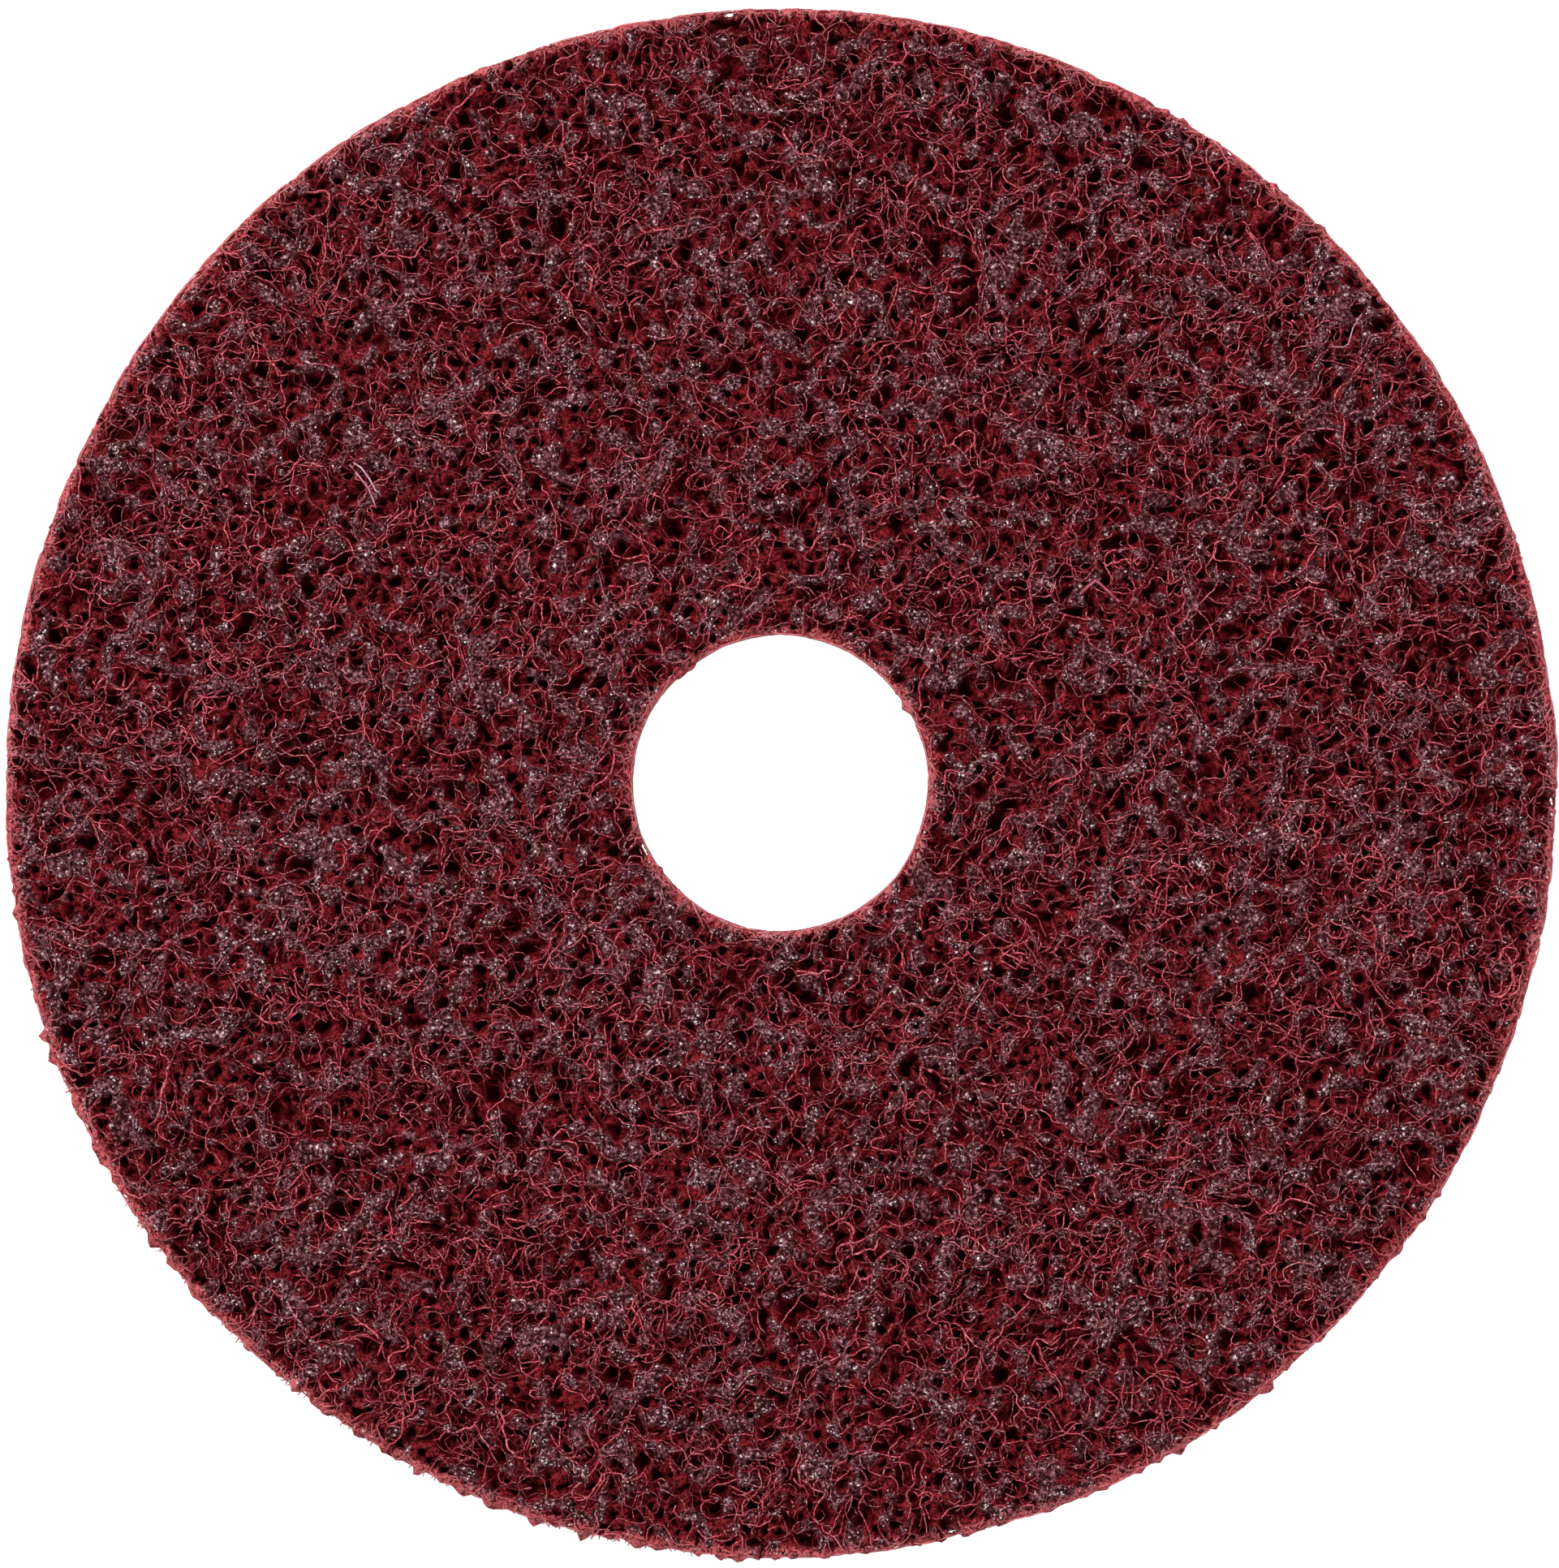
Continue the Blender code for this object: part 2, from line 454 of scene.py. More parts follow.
# A wall laid out at its true size
def wallUnrolled(wall, outward):
    rows, count = wall.shape[:2]
    around = np.hypot(wall[0, :, 0], wall[0, :, 1]).mean() * tau / count
    row, column = np.mgrid[0:rows - 1, 0:count]
    u = np.stack([column, column + 1, column + 1, column], axis=2) * around
    heights = np.concatenate([wall[:, :, 2], wall[:, :1, 2]], axis=1)
    corners = [heights[1:, :-1], heights[1:, 1:], heights[:-1, 1:], heights[:-1, :-1]]
    flat = np.stack([u, np.stack(corners, axis=2)], axis=3)
    return flat if outward > 0 else flat[:, :, ::-1]


def discMap(points, faces, corner, size):
    flat = points[faces][:, :, :2] / raster["half"] / 2 + 0.5
    return flat * size + np.array(corner)


def makeWebBody(material, dice):
    rows, rimCount, boreCount = webBody["wallRows"], webBody["rimPoints"], webBody["borePoints"]
    rimWall, rimFolded = cutWall(rimCount, rimAt, 1, dice)
    boreWall, boreFolded = cutWall(boreCount, boreAt, -1, dice)
    inner = faceInner(dice)
    backX, backY = jitteredGrid(webBody["backPitch"], rimRadius, webBody["jitter"], dice)
    inside = fromCut(backX, backY) > webBody["backClear"]
    back = np.column_stack([backX[inside], backY[inside]])

    innerZ = readField(height, inner[:, 0], inner[:, 1])
    low, high = webBody["backRise"]
    hollows = 0.5 + 0.5 * readField(lumps(webBody["backSize"], dice), back[:, 0], back[:, 1])
    backZ = low + (high - low) * np.clip(hollows, 0, 1)

    points = np.concatenate([
        rimWall.reshape(-1, 3), boreWall.reshape(-1, 3),
        np.column_stack([inner, innerZ]), np.column_stack([back, backZ]),
    ])
    boreFirst = rows * rimCount
    innerFirst = boreFirst + rows * boreCount
    backFirst = innerFirst + len(inner)
    topOrder = np.concatenate([
        np.arange(rimCount),
        boreFirst + np.arange(boreCount),
        innerFirst + np.arange(len(inner)),
    ])
    backOrder = np.concatenate([
        (rows - 1) * rimCount + np.arange(rimCount),
        boreFirst + (rows - 1) * boreCount + np.arange(boreCount),
        backFirst + np.arange(len(back)),
    ])
    face = topOrder[triangulated(rimWall[0, :, :2], boreWall[0, :, :2], inner)]
    rear = backOrder[triangulated(rimWall[-1, :, :2], boreWall[-1, :, :2], back)][:, ::-1]
    walls = [wallFaces(0, rows, rimCount, 1), wallFaces(boreFirst, rows, boreCount, -1)]
    flat = [
        discMap(points, face, *webBody["faceMap"]),
        discMap(points, rear, *webBody["backMap"]),
        wallMap(rows, rimCount, 1, *webBody["rimMap"]),
        wallMap(rows, boreCount, -1, *webBody["boreMap"]),
    ]
    unrolled = [points[face][:, :, :2], points[rear][:, :, :2]]
    unrolled += [wallUnrolled(rimWall, 1), wallUnrolled(boreWall, -1)]
    x, y = np.concatenate([rimFolded.reshape(-1, 2), boreFolded.reshape(-1, 2), inner, back]).T
    numbers = {"depth": readField(depth, x, y) / relief["pitDepth"][1], **overDisc(x, y)}
    numbers["depth"][backFirst:] = backZ * 2 / relief["pitDepth"][1]  # hollows of the back, which this paints darker as painted shade
    numbers["cut"][backFirst:] = 0
    piece = makePiece("web_body", points, [face, rear, *walls], numbers, flat, material, unrolled)
    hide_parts("scouring_pad")


# Fibres: three-sided tubes along paths that are grown step by step, all of a family at once

allFibres = {
    "swayShare": (0.3, 1),  # of the family's sway
    "kink": (1, 2.2),  # in radians
    "follow": 0.6,  # of the turn to the crests, at each step
    "ends": 0.12,  # of a fibre's length, where it dips into the resin
    "rolls": (0.8, 3.0),  # how often it rises and sinks
    "thicker": 1.45,
    "swell": 0.14,  # of the girth along a fibre
    "swellLimits": (0.75, 1.4),
    "mapCell": (0.86, 0.9),  # of its cell on the flat map
}


def tubes(paths, girths, reference):
    along = np.gradient(paths, axis=1)
    along /= np.linalg.norm(along, axis=2, keepdims=True) + 1e-12
    side = np.cross(along, reference)
    side /= np.linalg.norm(side, axis=2, keepdims=True) + 1e-12
    up = np.cross(side, along)
    turn = np.arange(3) * tau / 3 + tau / 4
    spokes = np.cos(turn)[:, None] * side[:, :, None] + np.sin(turn)[:, None] * up[:, :, None]
    return paths[:, :, None] + girths[:, :, None, None] * spokes


def tubeFaces(count, steps):
    first = np.arange(count)[:, None, None] * (steps + 1) * 3
    here = first + np.arange(steps)[None, :, None] * 3
    side, beside = np.arange(3)[None, None, :], (np.arange(3)[None, None, :] + 1) % 3
    walls = np.stack([here + side, here + 3 + side, here + 3 + beside, here + beside], axis=3)
    start = first[:, 0] + np.array([0, 1, 2])
    end = first[:, 0] + steps * 3 + np.array([2, 1, 0])
    return [walls.reshape(-1, 4), start, end]


# Every fibre has its own small upright cell on the flat map
def tubeMap(count, steps):
    columns = math.ceil(math.sqrt(count * (steps + 1) / 4))
    rows = math.ceil(count / columns)
    number = np.arange(count)
    corner = np.stack([number % columns / columns, number // columns / rows], axis=1)
    cell = np.array(allFibres["mapCell"]) / (columns, rows)
    step, side = np.mgrid[0:steps, 0:3]
    u = np.stack([side, side, side + 1, side + 1], axis=2) / 3
    v = np.stack([step, step + 1, step + 1, step], axis=2) / (steps + 1)
    walls = corner[:, None, None, None] + np.stack([u, v], axis=3)[None] * cell
    cap = np.array([(0, steps), (0.45, steps), (0.2, steps + 0.8)]) / (1, steps + 1)
    start = corner[:, None] + cap[None] * cell
    end = corner[:, None] + (cap[None] + (0.5, 0)) * cell
    return [walls.reshape(-1, 4, 2), start, end]


# Paths are the x, y and z of the steps, and numbers are for each step, each fibre or all of them
def makeFibres(name, paths, girths, numbers, material, reference=(0, 0, 1)):
    count, steps = girths.shape[0], girths.shape[1] - 1
    paths = np.stack(paths, axis=2)
    points = tubes(paths, girths, np.asarray(reference, float)).reshape(-1, 3)
    each = {
        number: np.repeat(np.broadcast_to(values, girths.shape).ravel(), 3)
        for number, values in numbers.items()
    }
    return makePiece(name, points, tubeFaces(count, steps), each, tubeMap(count, steps), material)


# Headings along a crimped fibre: it sways, it bends one way, and now and then it kinks
def headings(style, count, dice):
    steps, stride = style["steps"], style["stride"]
    way = dice.uniform(0, tau, (count, 1)) + np.zeros((count, steps))
    travel = np.arange(steps)[None, :] * stride
    wave = dice.uniform(*style["wave"], (count, 1))
    sway = dice.uniform(*allFibres["swayShare"], (count, 1)) * style["sway"]
    bend = dice.normal(0, style["bend"], (count, 1))
    way += sway * np.sin(tau * travel / wave + dice.uniform(0, tau, (count, 1))) + bend * travel
    kink = dice.uniform(0, steps / style["kinked"], (count, 1))
    turned = smooth(np.arange(steps)[None, :] - kink)
    way += turned * dice.choice([-1, 1], (count, 1)) * dice.uniform(*allFibres["kink"], (count, 1))
    return way + dice.normal(0, style["wobble"], way.shape)


# Places spread evenly over the disc
def scattered(count, dice):
    radius = np.sqrt(dice.uniform(boreRadius**2, rimRadius**2, count))
    return placeAt(radius, dice.uniform(0, tau, count))


# Grows fibres over the disc. Steering pushes them out of pits and turns them along the crests
def growOverDisc(style, dice):
    count, steps, stride = style["count"], style["steps"], style["stride"]
    x, y = scattered(count, dice)
    ways = headings(style, count, dice)
    turned = np.zeros(count)
    obey = style["steer"] * dice.random(count) ** 0.5
    xs, ys = [x], [y]
    for step in range(steps):
        slopeX, slopeY = readField(slopes[0], x, y), readField(slopes[1], x, y)
        slope = np.hypot(slopeX, slopeY) + 1e-9
        pull = obey * np.clip(slope / style["fullSlope"], 0, 1)
        way = ways[:, step] + turned
        lean = (np.arctan2(slopeX, -slopeY) - way + tau / 4) % (tau / 2) - tau / 4
        turned += lean * pull * allFibres["follow"]
        way = way + lean * pull * allFibres["follow"]
        x = x + stride * np.cos(way) - slopeX / slope * pull * style["push"]
        y = y + stride * np.sin(way) - slopeY / slope * pull * style["push"]
        reach, angle = np.hypot(x, y), np.arctan2(y, x)
        held = np.clip(reach, boreAt(angle) + style["clearOfCut"], rimAt(angle) - style["clearOfCut"])
        x, y = x * held / reach, y * held / reach
        xs.append(x)
        ys.append(y)
    return np.stack(xs, axis=1), np.stack(ys, axis=1)


# 0 at both ends of a fibre and 1 from this share of its length on
def clearOfEnds(travel, share):
    return smooth(travel / share) * smooth((1 - travel) / share)


# How high a fibre lies: on the crests, sagging over pits, with both ends held in the resin
def lieOnFace(style, x, y, dice):
    count, steps = style["count"], style["steps"]
    travel = np.linspace(0, 1, steps + 1)[None, :]
    ends = clearOfEnds(travel, allFibres["ends"])
    lift = dice.uniform(*style["lift"], (count, 1)) * ends - style["buried"] * (1 - ends)
    wave = dice.uniform(*allFibres["rolls"], (count, 1))
    roll = style["roll"] * np.sin(tau * wave * travel + dice.uniform(0, tau, (count, 1)))
    sag = style["sag"] * dice.random((count, 1)) ** 2 * readField(depth, x, y)
    return readField(crest, x, y) + lift + roll - sag


# Half the girth of each fibre at each step
def fibreGirths(style, shape, dice):
    own = dice.uniform(*style["girth"], (shape[0], 1))
    thick = dice.random((shape[0], 1)) < style["thickShare"]
    swell = np.clip(1 + allFibres["swell"] * dice.normal(0, 1, shape), *allFibres["swellLimits"])
    return np.where(thick, own * allFibres["thicker"], own) / 2 * swell


def faceFibres(name, style, material, dice):
    x, y = growOverDisc(style, dice)
    z = lieOnFace(style, x, y, dice)
    numbers = {
        "tone": dice.random((style["count"], 1)) ** style["dullness"],
        # depth below the crests, which the fibre material turns into painted shade
        "depth": np.clip((readField(crest, x, y) - z) / relief["pitDepth"][1], 0, 1),
        **overDisc(x, y),
    }
    girths = fibreGirths(style, x.shape, dice)
    makeFibres(name, (x, y, z), girths, numbers, material)


# Bend is in radians a metre, kinked is the share that kink, and buried is how deep the ends lie
faceFamily = {
    "count": 2600, "steps": 12, "stride": 0.00043, "fullSlope": 2.0, "clearOfCut": 0.00006,
    "buried": 0.00025, "wobble": 0.26,
}
upperFibres = {
    **faceFamily, "girth": (0.00010, 0.00017), "thickShare": 0.06,
    "wave": (0.0026, 0.0060), "sway": 1.0, "bend": 420, "kinked": 0.30,
    "steer": 0.75, "push": 0.00012, "lift": (-0.00005, 0.00011), "roll": 0.00019, "sag": 0.25,
    "dullness": 1.3,
}
middleFibres = {
    **faceFamily, "girth": (0.00011, 0.00017), "thickShare": 0.03,
    "wave": (0.0020, 0.0052), "sway": 1.1, "bend": 480, "kinked": 0.24,
    "steer": 0.50, "push": 0.00008, "lift": (-0.00026, 0.00000), "roll": 0.00022, "sag": 0.45,
    "dullness": 2.2,
}

# Fibres deeper in the web, which show where pits open it
lowerFibres = {
    **faceFamily, "girth": (0.00013, 0.00018), "thickShare": 0.0,
    "wave": (0.0025, 0.0060), "sway": 1.1, "bend": 400, "kinked": 0.10, "wobble": 0.20,
    "steer": 0.0, "push": 0.0, "clearOfCut": 0.00010,
    "lift": (-0.00095, -0.00022), "buried": 0.00010, "roll": 0.00016, "sag": 0.0,
    "dullness": 1.8,
}

# Fibres pressed flat on the back
backFibres = {
    "count": 800, "steps": 8, "stride": 0.00080, "girth": (0.00013, 0.00018), "thickShare": 0.0,
    "wave": (0.003, 0.007), "sway": 0.9, "bend": 200, "kinked": 0.10, "wobble": 0.10,
    "steer": 0.0, "fullSlope": 2.0, "push": 0.0, "clearOfCut": 0.00025,
    # sunk is their depth number, which the painted shade of depth barely darkens
    "rise": (0.00009, 0.00020), "brightest": 0.8, "sunk": 0.06,
}


def makeBackFibres(material, dice):
    x, y = growOverDisc(backFibres, dice)
    z = dice.uniform(*backFibres["rise"], x.shape)
    numbers = {
        "tone": dice.random((backFibres["count"], 1)) * backFibres["brightest"],
        "depth": backFibres["sunk"],
        "resin": readField(resin, x, y),
        "cut": 0,
    }
    girths = fibreGirths(backFibres, x.shape, dice)
    makeFibres("back_fibres", (x, y, z), girths, numbers, material, (0, 0, -1))


# Fibres lying in the cut walls
edgeFibres = {
    "count": 860, "boreCount": 170, "steps": 8, "stride": 0.00052, "girth": (0.00012, 0.00018),
    "thickShare": 0.0, "wave": (0.003, 0.006), "sway": 0.7, "bend": 160, "kinked": 0.12, "wobble": 0.15,
    "low": 0.00020, "high": 0.0041, "proud": 0.00002, "proudInBore": -0.00005, "buried": 0.00018,
    "climb": 0.6,  # they climb less than they run along the wall
    # sunk is their depth number, below where the painted shade of depth begins
    "ends": 0.2, "tones": (0.2, 1), "sunk": 0.03,
}


# Grows fibres on a cut wall, as if it were unrolled
def growOnWall(style, count, reach, outward, dice):
    steps, stride = style["steps"], style["stride"]
    ways = headings(style, count, dice)
    mean = reach(np.zeros(1))[0]
    around = dice.uniform(0, tau, (count, 1)) + np.cumsum(stride * np.cos(ways), axis=1) / mean
    climbed = np.cumsum(stride * np.sin(ways) * style["climb"], axis=1)
    z = dice.uniform(style["low"], style["high"], (count, 1)) + climbed
    span = style["high"] - style["low"]
    z = style["low"] + span - np.abs((z - style["low"]) % (2 * span) - span)
    travel = np.linspace(0, 1, steps)[None, :]
    ends = clearOfEnds(travel, style["ends"])
    proud = style["proud"] if outward > 0 else style["proudInBore"]
    radius = reach(around) + outward * (proud * ends - style["buried"] * (1 - ends))
    radial = np.stack([*placeAt(outward, around), np.zeros(around.shape)], axis=2)
    return (*placeAt(radius, around), z), radial


def makeEdgeFibres(name, count, reach, outward, material, dice):
    paths, radial = growOnWall(edgeFibres, count, reach, outward, dice)
    numbers = {
        "tone": dice.uniform(*edgeFibres["tones"], (count, 1)),
        "depth": edgeFibres["sunk"],
        "resin": 0,
        # paler towards the top edge of the wall: partly paler cut fibre, partly painted rim light
        "cut": np.clip(1 - (edgeFibres["high"] - paths[2]) / relief["trimmedAndRimLit"], 0, 1),
    }
    girths = fibreGirths(edgeFibres, paths[2].shape, dice)
    makeFibres(name, paths, girths, numbers, material, radial)


# Ends of fibre that the punch left standing out of the rim, most where it tore
cutEnds = {
    "count": 1500, "steps": 3, "girth": (0.00010, 0.00017), "thickShare": 0.1,
    "start": 0.00050,  # inside the rim
    "plainShare": 0.12,  # where the rim isn't torn
    "stride": 0.00026,
    "strideShare": (0.35, 1.15),  # there and where it is torn
    "strideSpread": (0.6, 1.1),
    "turn": 0.75, "bend": 0.35, "climb": 0.3,
    "clear": (0.0004, 0.0007),  # of the back and of the top, at the roots
    "lowest": 0.00020,
    # sunk is their depth number, below where the painted shade of depth begins
    "taper": 0.7, "tones": (0.3, 1), "sunk": 0.02,
}


def makeCutEnds(material, dice):
    count, steps = cutEnds["count"], cutEnds["steps"]
    plain = cutEnds["plainShare"]
    angle = dice.uniform(0, tau, count * 6)
    angle = angle[dice.random(count * 6) < plain + (1 - plain) * tornAt(angle)][:count]
    count = len(angle)
    short, long = cutEnds["strideShare"]
    stride = cutEnds["stride"] * (short + (long - short) * tornAt(angle))
    stride = stride * dice.uniform(*cutEnds["strideSpread"], count)
    way = angle + dice.normal(0, cutEnds["turn"], count)
    bend = dice.normal(0, cutEnds["bend"], count)
    climb = dice.normal(0, cutEnds["climb"], count) * stride
    low, high = cutEnds["clear"]
    z = dice.uniform(low, thickness - high, count)
    x, y = placeAt(rimAt(angle) - cutEnds["start"], angle)
    rows = [(x, y, z)]
    for step in range(steps):
        way = way + bend
        x, y = x + stride * np.cos(way), y + stride * np.sin(way)
        z = np.maximum(z + climb, cutEnds["lowest"])
        rows.append((x, y, z))
    taper = np.linspace(1, cutEnds["taper"], steps + 1)
    girths = fibreGirths(cutEnds, (count, steps + 1), dice) * taper
    tone = dice.uniform(*cutEnds["tones"], (count, 1))
    # cut ends take the full pale colour of the cuts: partly paler cut fibre, partly painted rim light
    numbers = {"tone": tone, "depth": cutEnds["sunk"], "resin": 0, "cut": 1}
    makeFibres("cut_ends", np.array(rows).transpose(1, 2, 0), girths, numbers, material)


# Single fibres that stand out: thick ones, and ones that took little dye. Each has the x and the y of
# its places on the disc, how high its middle arches over the crests, its girth and its tone
strays = (
    ((-0.03193, -0.03129, -0.03057, -0.03020, -0.03001), (0.02361, 0.02281, 0.02189, 0.02102, 0.02044),
     0.00035, 0.00021, 0.45),
    ((-0.03169, -0.03107, -0.03049, -0.03003, -0.02970), (0.02381, 0.02339, 0.02259, 0.02173, 0.02151),
     0.00045, 0.00020, 0.90),
    ((0.04312, 0.04247, 0.04211, 0.04175, 0.04074), (0.03482, 0.03381, 0.03258, 0.03236, 0.03239),
     0.00040, 0.00013, 0.80),
    ((0.02223, 0.02280, 0.02338, 0.02426, 0.02512), (0.01403, 0.01460, 0.01505, 0.01431, 0.01344),
     0.00030, 0.00034, 0.00),
)
strayRoots = 0.00012  # their ends lie this far below the crests


def makeStrays(material):
    x, y = (np.array([stray[side] for stray in strays]) for side in (0, 1))
    arch, girth, tone = np.array([stray[2:] for stray in strays]).T[:, :, None]
    travel = np.linspace(0, 1, x.shape[1])
    z = readField(crest, x, y) - strayRoots + arch * np.sin(travel * tau / 2)
    numbers = {"tone": tone, "depth": 0, "resin": 0, "cut": 0}
    girths = girth / 2 * np.ones(x.shape)
    makeFibres("stray_fibres", (x, y, z), girths, numbers, material)


# Grit: small eight-sided grains bonded to the resin and to the crests

grit = {
    "count": 8800,
    "size": (0.00005, 0.00011),  # half across
    "clump": 0.0018,  # size of the clumps it gathers in
    "gathered": (0.4, 0.8),  # how common it is, and how much clumps add
    "sunk": 0.3,  # of its size, into the resin
    "deepest": 0.0003,  # in the web
    "clearOfCut": 0.0002,
    "tries": 8,  # for each grain
    "uneven": (0.6, 1.2),  # of its size, at the corners
}


def makeGrit(material, dice):
    tries = grit["count"] * grit["tries"]
    x, y = scattered(tries, dice)
    gathered = readField(lumps(grit["clump"], dice), x, y)
    common, added = grit["gathered"]
    likely = smooth(common + gathered * added) * (readField(depth, x, y) < grit["deepest"])
    kept = (dice.random(tries) < likely) & (fromCut(x, y) > grit["clearOfCut"])
    x, y = x[kept][:grit["count"]], y[kept][:grit["count"]]
    count = len(x)
    size = dice.uniform(*grit["size"], (count, 1, 1))
    corners = np.concatenate([np.eye(3), -np.eye(3)])[None]
    corners = corners * dice.uniform(*grit["uneven"], (count, 6, 1))
    turned = np.linalg.qr(dice.normal(0, 1, (count, 3, 3)))[0]
    turned *= np.sign(np.linalg.det(turned))[:, None, None]
    grains = (corners @ turned) * size
    z = readField(height, x, y) + size[:, 0, 0] * (1 - grit["sunk"])
    points = grains + np.stack([x, y, z], axis=1)[:, None]
    facets = np.array([
        (0, 1, 2), (1, 3, 2), (3, 4, 2), (4, 0, 2), (1, 0, 5), (3, 1, 5), (4, 3, 5), (0, 4, 5),
    ])
    faces = (np.arange(count)[:, None, None] * 6 + facets[None]).reshape(-1, 3)
    across = math.ceil(math.sqrt(count))
    number, facet = np.mgrid[0:count, 0:8]
    corner = np.stack([
        (number % across + facet % 4 / 4) / across,
        (number // across + facet // 4 / 2) / across,
    ], axis=2)
    shape = np.array([(0, 0), (0.2, 0), (0.1, 0.42)]) / across
    flat = (corner[:, :, None] + shape).reshape(-1, 3, 2)
    numbers = {"tone": np.repeat(dice.random(count), 6)}
    piece = makePiece("grit", points.reshape(-1, 3), [faces], numbers, [flat], material)
    piece.data.shade_flat()


# Materials: wires carry sockets, so that sums on them add Math nodes

class Wire:
    def __init__(self, paint, socket):
        self.paint, self.socket = paint, socket

    def maths(self, operation, first, second):
        return self.paint.node("ShaderNodeMath", {"operation": operation}, {0: first, 1: second})

    def __add__(self, other):
        return self.maths("ADD", self, other)

    def __radd__(self, other):
        return self.maths("ADD", other, self)

    def __sub__(self, other):
        return self.maths("SUBTRACT", self, other)

    def __rsub__(self, other):
        return self.maths("SUBTRACT", other, self)

    def __mul__(self, other):
        return self.maths("MULTIPLY", self, other)

    def __rmul__(self, other):
        return self.maths("MULTIPLY", other, self)


class Paint:
    def __init__(self, name):
        self.material = bpy.data.materials.new(name)
        self.material.use_nodes = True
        self.tree = self.material.node_tree
        self.shader = self.tree.nodes["Principled BSDF"]

    # any node: its type, its settings, then the values or wires of its sockets
    def node(self, kind, settings=None, inputs=None, output=0):
        made = self.tree.nodes.new(kind)
        for setting, value in (settings or {}).items():
            if setting == "stops":
                self.placeStops(made.color_ramp.elements, value)
            else:
                setattr(made, setting, value)
        self.fill(made, inputs or {})
        return Wire(self, made.outputs[output])

    def fill(self, made, inputs):
        for socket, value in inputs.items():
            if isinstance(value, Wire):
                self.tree.links.new(value.socket, made.inputs[socket])
            else:
                made.inputs[socket].default_value = value

    def finish(self, **inputs):
        self.fill(self.shader, {name.replace("_", " "): value for name, value in inputs.items()})
        return self.material

    def number(self, name):
        return self.node("ShaderNodeAttribute", {"attribute_name": name}, output="Fac")

    def place(self):
        return self.node("ShaderNodeTexCoord", output="Object")

    # soft noise with lumps of about this size, from 0 to 1
    def cloud(self, place, size, detail=2.0, output="Fac"):
        inputs = {"Vector": place, "Scale": 1 / size, "Detail": detail}
        return self.node("ShaderNodeTexNoise", {}, inputs, output)

    # cells of about this size, each in its own colour
    def cells(self, place, size):
        return self.node("ShaderNodeTexVoronoi", {}, {"Vector": place, "Scale": 1 / size}, "Color")

    # the lines between flat cells of about this size, as wide as this share of a cell
    def net(self, place, size, width):
        settings = {"voronoi_dimensions": "2D", "feature": "DISTANCE_TO_EDGE"}
        edge = self.node("ShaderNodeTexVoronoi", settings, {"Vector": place, "Scale": 1 / size})
        return self.between(edge, width, width * 0.2)

    def red(self, colour):
        return self.node("ShaderNodeSeparateColor", {}, {"Color": colour})

    # coordinates moved about with the place, so that cells on them get curved borders
    def warped(self, coordinates, place, size, reach):
        stray = self.cloud(place, size, 1.0, "Color")
        centred = self.vectors("SUBTRACT", stray, (0.5, 0.5, 0.5))
        return self.vectors("MULTIPLY_ADD", centred, (reach, reach, reach), coordinates)

    def vectors(self, operation, *values):
        return self.node("ShaderNodeVectorMath", {"operation": operation}, dict(enumerate(values)))

    def placeStops(self, points, stops):
        for number, (position, colour) in enumerate(stops):
            point = points[number] if number < 2 else points.new(position)
            point.position, point.color = position, colour

    def between(self, value, low, high):
        inputs = {"Value": value, "From Min": low, "From Max": high}
        return self.node("ShaderNodeMapRange", {"interpolation_type": "SMOOTHSTEP"}, inputs)

    def mix(self, share, first, second):
        inputs = {0: share, 6: first, 7: second}
        return self.node("ShaderNodeMix", {"data_type": "RGBA"}, inputs, output=2)

    def bump(self, heights, distance, strength):
        inputs = {"Height": heights, "Distance": distance, "Strength": strength}
        return self.node("ShaderNodeBump", {}, inputs)


# Resin packed with grains, and the web of fibres that shows where it is open
resinLook = {
    # from the gaps between grains to the clear grains
    "grains": (
        (0.00, (0.022, 0.0004, 0.001, 1)),
        (0.30, (0.078, 0.014, 0.018, 1)),
        (0.62, (0.205, 0.07, 0.081, 1)),
        (0.88, (0.45, 0.235, 0.26, 1)),
        (1.00, (1.0, 0.9, 0.92, 1)),
    ),
    "grain": 0.00017,
    "askew": (0.00022, 0.00016),  # how a grain's outline strays: over what length, and how far
    "gap": 0.00036,
    "scatter": 0.00040,  # frayed borders of the patches
    "frayed": 1.2,
    "paintedPitShade": (0.08, 0.0003, 0.0009, 1),  # painted shade inside a pit, where little light falls
    "web": (0.032, 0.0003, 0.0008, 1),  # the web between the patches, near black: painted shade in its gaps
    "fleck": (0.25, 0.02, 0.03, 1),  # bits of fibre and grain on it
    "far": (0.15, 0.0024, 0.005, 1),  # fibres far down in the web, darker than the near ones as painted shade
    "near": (0.38, 0.019, 0.027, 1),  # fibres just under the face
    # pale line along the cuts: partly paler cut fibre, partly painted rim light
    "pressed": (0.78, 0.165, 0.185, 1),
    "nets": ((0.00062, 0.16), (0.00050, 0.13)),  # windows between those fibres, and a fibre's share
    "curved": (0.0009, 0.0013),  # and how the fibres curve
    # where each begins and where it is full
    "closed": (0.72, 1.02),
    # sunk: the depths over which the pits are painted darker, as painted shade
    "sunk": (0.28, 0.60),
    "trimmedAndRimLit": (0.78, 1.32),  # the pale line at the cuts, partly paler cut fibre, partly painted rim light
    "flecked": (0.55, 0.90),
    "glossy": (0.75, 1.0),
    "roughness": 0.7,
    "specular": 0.1,
    "coat": 0.2,  # roughness of the gloss
    "bump": (0.00015, 0.8),  # height and strength
}


